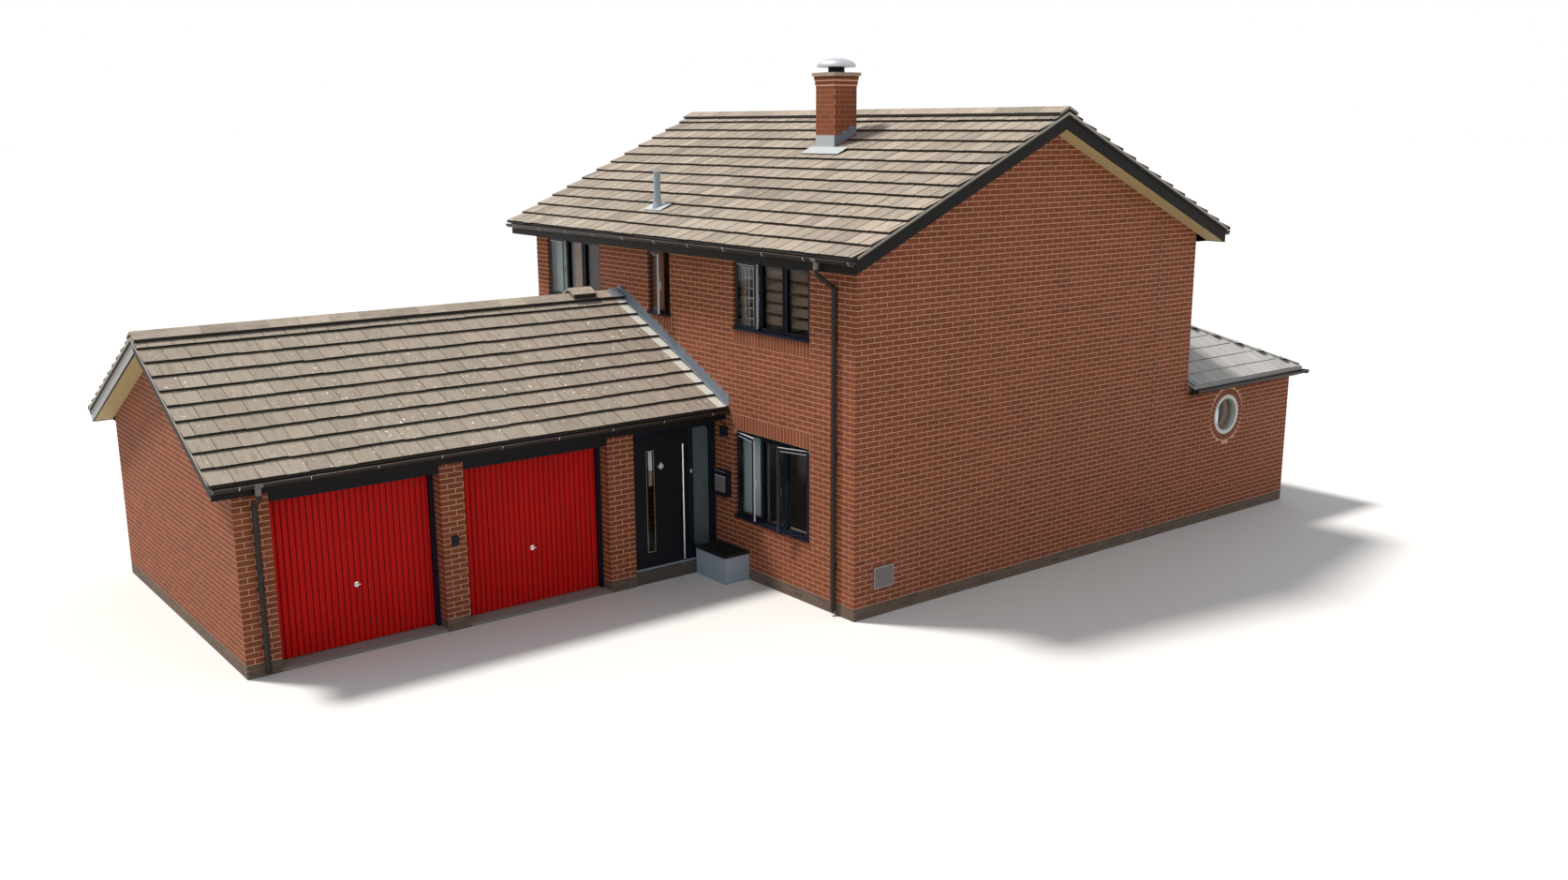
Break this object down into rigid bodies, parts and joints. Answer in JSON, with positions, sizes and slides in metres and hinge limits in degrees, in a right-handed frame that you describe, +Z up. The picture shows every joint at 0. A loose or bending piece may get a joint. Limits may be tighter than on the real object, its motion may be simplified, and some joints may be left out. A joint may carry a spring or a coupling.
{
  "type": "detached house",
  "caption": "Detached brick house with a pitched tiled roof, a front garage wing with tilting doors, a hinged front door, a chimney and a hipped rear extension.",
  "frame": {"origin": "on the ground under the middle of the whole house's box", "axes": "+X to the right along the front, +Y to the rear, +Z up; the front faces -Y and the garage doors face +X"},
  "size_m": [9.39, 18.076, 7.72],
  "materials": {
    "brick": "orange red fired clay brick with light buff mortar joints",
    "floor": "plain screed",
    "timber_floor": "plain boarded floor",
    "concrete": "trowelled grey concrete",
    "roof_tile": "weathered flat grey brown concrete tiles",
    "slate": "light grey flat slates",
    "black_board": "black painted boards",
    "cream_board": "cream painted soffit boards",
    "rainwater": "brown black rainwater goods",
    "lead": "grey blue lead sheet",
    "galvanised": "weathered galvanised metal",
    "frame_black": "satin black frames",
    "red_door": "satin deep red painted steel",
    "steel": "zinc plated steel",
    "silver": "polished silver metal",
    "door_black": "smooth black composite door",
    "glass": "clear sealed glass",
    "white_frame": "white window ring",
    "grey_plastic": "grey plastic vent",
    "planter_grey": "mid grey planter with a black rim"
  },
  "bodies": {
    "house": {"front_wall": "brick", "rear_wall": "brick", "right_gable_wall": "brick", "left_gable_wall": "brick", "ground_floor": "floor", "first_floor": "timber_floor", "garage_floor": "concrete", "garage_piers": "brick", "garage_lintel": "black_board", "garage_end_wall": "brick", "garage_side_wall": "brick", "extension_walls": "brick", "roof_front_slope": "roof_tile", "roof_rear_slope": "roof_tile", "garage_roof_right": "roof_tile", "garage_roof_left": "roof_tile", "extension_roof": "slate", "ridge_tiles": "roof_tile", "bargeboards": "black_board", "verge_soffits": "cream_board", "eaves_soffits": "black_board", "fascias": "black_board", "gutters": "rainwater", "downpipes": "rainwater", "chimney_stack": "brick", "chimney_cap": "concrete", "chimney_cowl": "galvanised", "lead_flashings": "lead", "vent_pipe": "galvanised", "garage_door_frames": "frame_black", "entrance_frame": "frame_black", "entrance_step": "brick", "window_frames_ground": "frame_black", "window_frames_upper": "frame_black", "glass_ground": "glass", "glass_upper": "glass", "round_window": "white_frame", "gable_vent": "grey_plastic", "mailbox": "frame_black", "wall_fittings": "frame_black", "corner_planter": "planter_grey"},
    "front_door_leaf": {"front_door": "door_black", "door_glass": "glass", "door_furniture": "silver"},
    "left_garage_leaf": {"garage_door_left": "red_door", "handle_left": "silver"},
    "right_garage_leaf": {"garage_door_right": "red_door", "handle_right": "silver"},
    "left_door_rollers": {"rollers_left": "steel"},
    "right_door_rollers": {"rollers_right": "steel"}
  },
  "joints": [
    {"name": "front_door_hinge", "type": "hinge", "parent": "house", "child": "front_door_leaf", "pos_m": [1.009, -2.958, 1.24], "axis": [0, 0, 1], "range_deg": [0, 90]},
    {"name": "left_garage_rise", "type": "slide", "parent": "house", "child": "left_door_rollers", "axis": [0, 0, 1], "range_m": [0, 1.25]},
    {"name": "left_garage_tilt", "type": "hinge", "parent": "left_door_rollers", "child": "left_garage_leaf", "pos_m": [0.866, -7.168, 0.75], "axis": [0, -1, 0], "range_deg": [0, 90]},
    {"name": "right_garage_rise", "type": "slide", "parent": "house", "child": "right_door_rollers", "axis": [0, 0, 1], "range_m": [0, 1.25]},
    {"name": "right_garage_tilt", "type": "hinge", "parent": "right_door_rollers", "child": "right_garage_leaf", "pos_m": [0.866, -4.591, 0.75], "axis": [0, -1, 0], "range_deg": [0, 90]}
  ],
  "couplings": [
    {"joint": "left_garage_rise", "follows": "left_garage_tilt", "m_per_rad": 0.7957},
    {"joint": "right_garage_rise", "follows": "right_garage_tilt", "m_per_rad": 0.7957}
  ]
}
